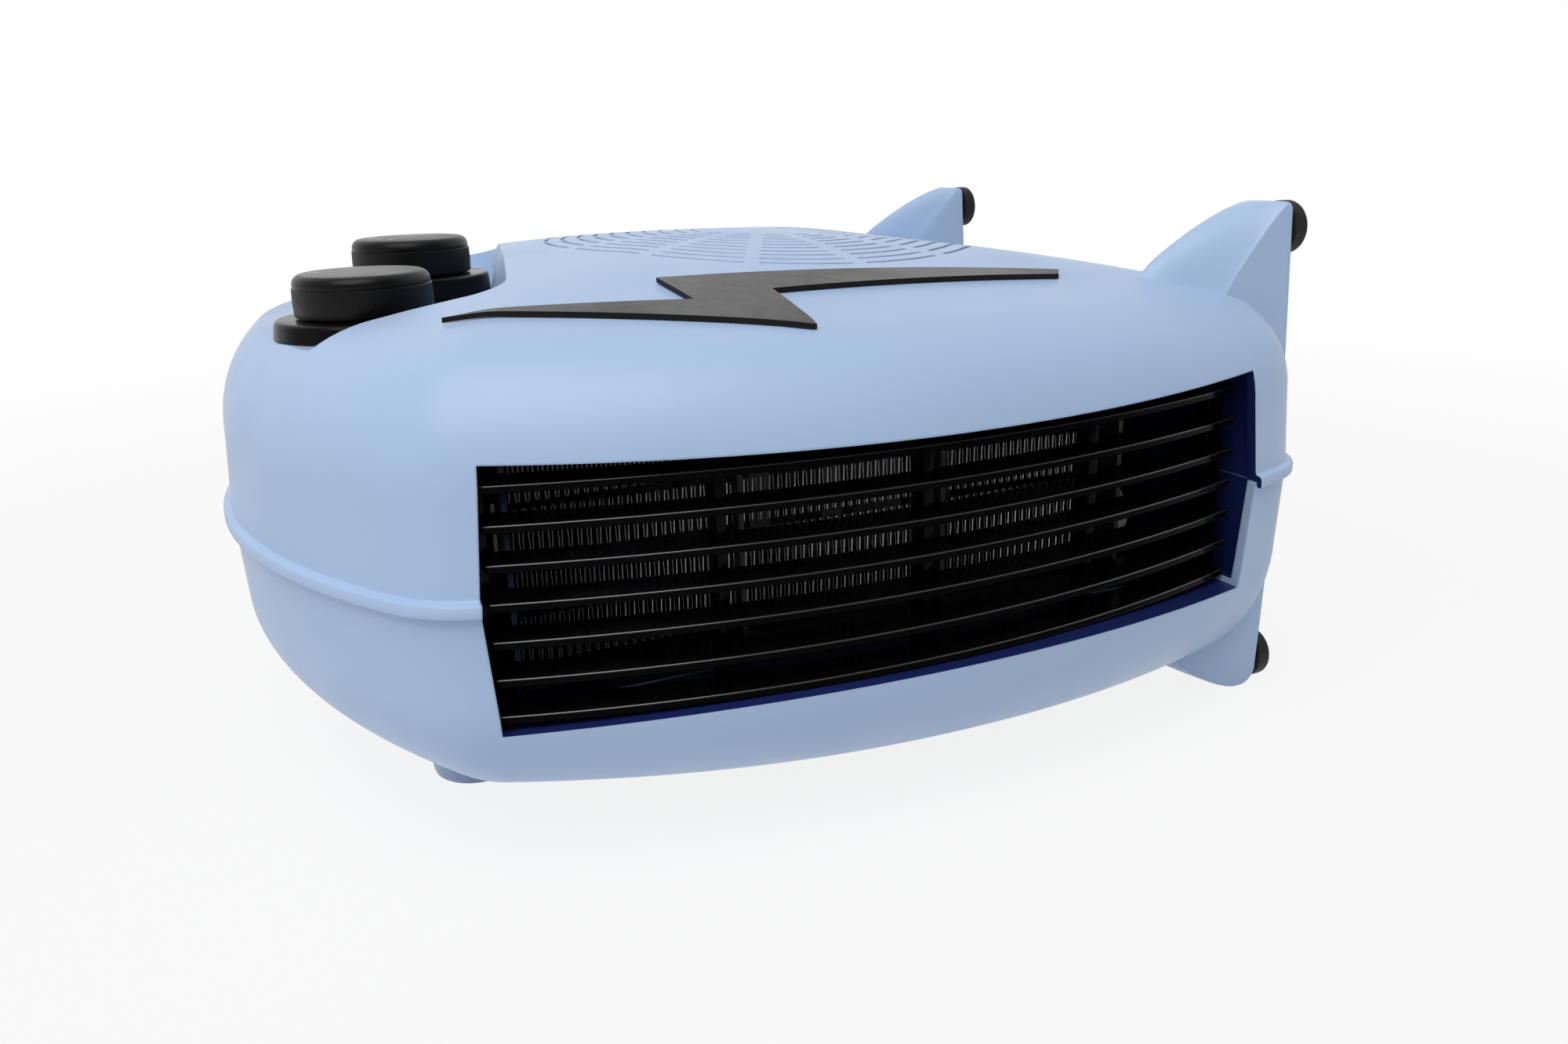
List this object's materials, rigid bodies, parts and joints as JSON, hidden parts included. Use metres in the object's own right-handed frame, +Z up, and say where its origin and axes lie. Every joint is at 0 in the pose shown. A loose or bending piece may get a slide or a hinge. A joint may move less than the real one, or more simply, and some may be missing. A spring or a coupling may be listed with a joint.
{
  "type": "portable fan heater",
  "caption": "Flat portable fan heater with a domed two-piece shell, convex outlet grille over a zigzag wire element, blower, two control knobs and corner wings with rubber feet.",
  "frame": {"origin": "centre of the bounding box in plan, on the surface the heater lies on", "axes": "+X from the rounded end to the base end, -Y out of the outlet, +Z up"},
  "size_m": [0.2546, 0.2271, 0.128],
  "materials": {
    "shell_blue": "smooth moulded satin, light blue",
    "grille_black": "glossy black moulding",
    "satin_black": "satin black moulding",
    "rubber": "dull black rubber",
    "inlay_black": "charcoal satin sheet",
    "steel": "plain pressed steel",
    "brass": "plain brass",
    "copper": "enamelled copper winding",
    "wire": "drawn resistance wire",
    "mica": "brown mica board",
    "wheel_grey": "dark grey moulding",
    "ivory": "heat-proof ivory moulding"
  },
  "bodies": {
    "body": {"upper_shell": "shell_blue", "lower_shell": "shell_blue", "outlet_grille": "grille_black", "bolt_inlay": "inlay_black", "rubber_foot_front_upper": "rubber", "rubber_foot_rear_upper": "rubber", "rubber_foot_front_lower": "rubber", "rubber_foot_rear_lower": "rubber", "control_panel": "satin_black", "selector_switch": "ivory", "thermostat_body": "ivory", "thermostat_blade": "brass", "motor_core": "steel", "motor_coil": "copper", "motor_bracket_lower": "steel", "motor_bracket_upper": "steel", "bearing_lower": "brass", "bearing_upper": "brass", "mica_plate_left": "mica", "mica_plate_right": "mica", "mica_rail_upper": "mica", "mica_rail_lower": "mica", "mica_spacer_1": "mica", "mica_spacer_2": "mica", "heater_wire_1": "wire", "heater_wire_2": "wire", "heater_wire_3": "wire", "heater_wire_4": "wire", "heater_terminal_left": "brass", "heater_terminal_right": "brass", "thermal_cutout": "ivory", "cord_bush": "satin_black", "shell_screw_1": "steel", "shell_screw_2": "steel", "shell_screw_3": "steel", "shell_screw_4": "steel"},
    "selector": {"selector_knob": "satin_black", "selector_spindle": "steel"},
    "thermostat": {"thermostat_knob": "satin_black", "thermostat_spindle": "steel"},
    "blower": {"blower_wheel": "wheel_grey", "motor_rotor": "steel"}
  },
  "joints": [
    {"name": "selector_turn", "type": "hinge", "parent": "body", "child": "selector", "pos_m": [-0.0922, -0.0259, 0.1114], "axis": [0, 0, 1], "range_deg": [-135, 0]},
    {"name": "thermostat_turn", "type": "hinge", "parent": "body", "child": "thermostat", "pos_m": [-0.0729, 0.0284, 0.1147], "axis": [0, 0, 1], "range_deg": [-270, 0]},
    {"name": "blower_spin", "type": "hinge", "parent": "body", "child": "blower", "pos_m": [0.0145, -0.0017, 0.064], "axis": [0, 0, 1], "continuous": true}
  ]
}
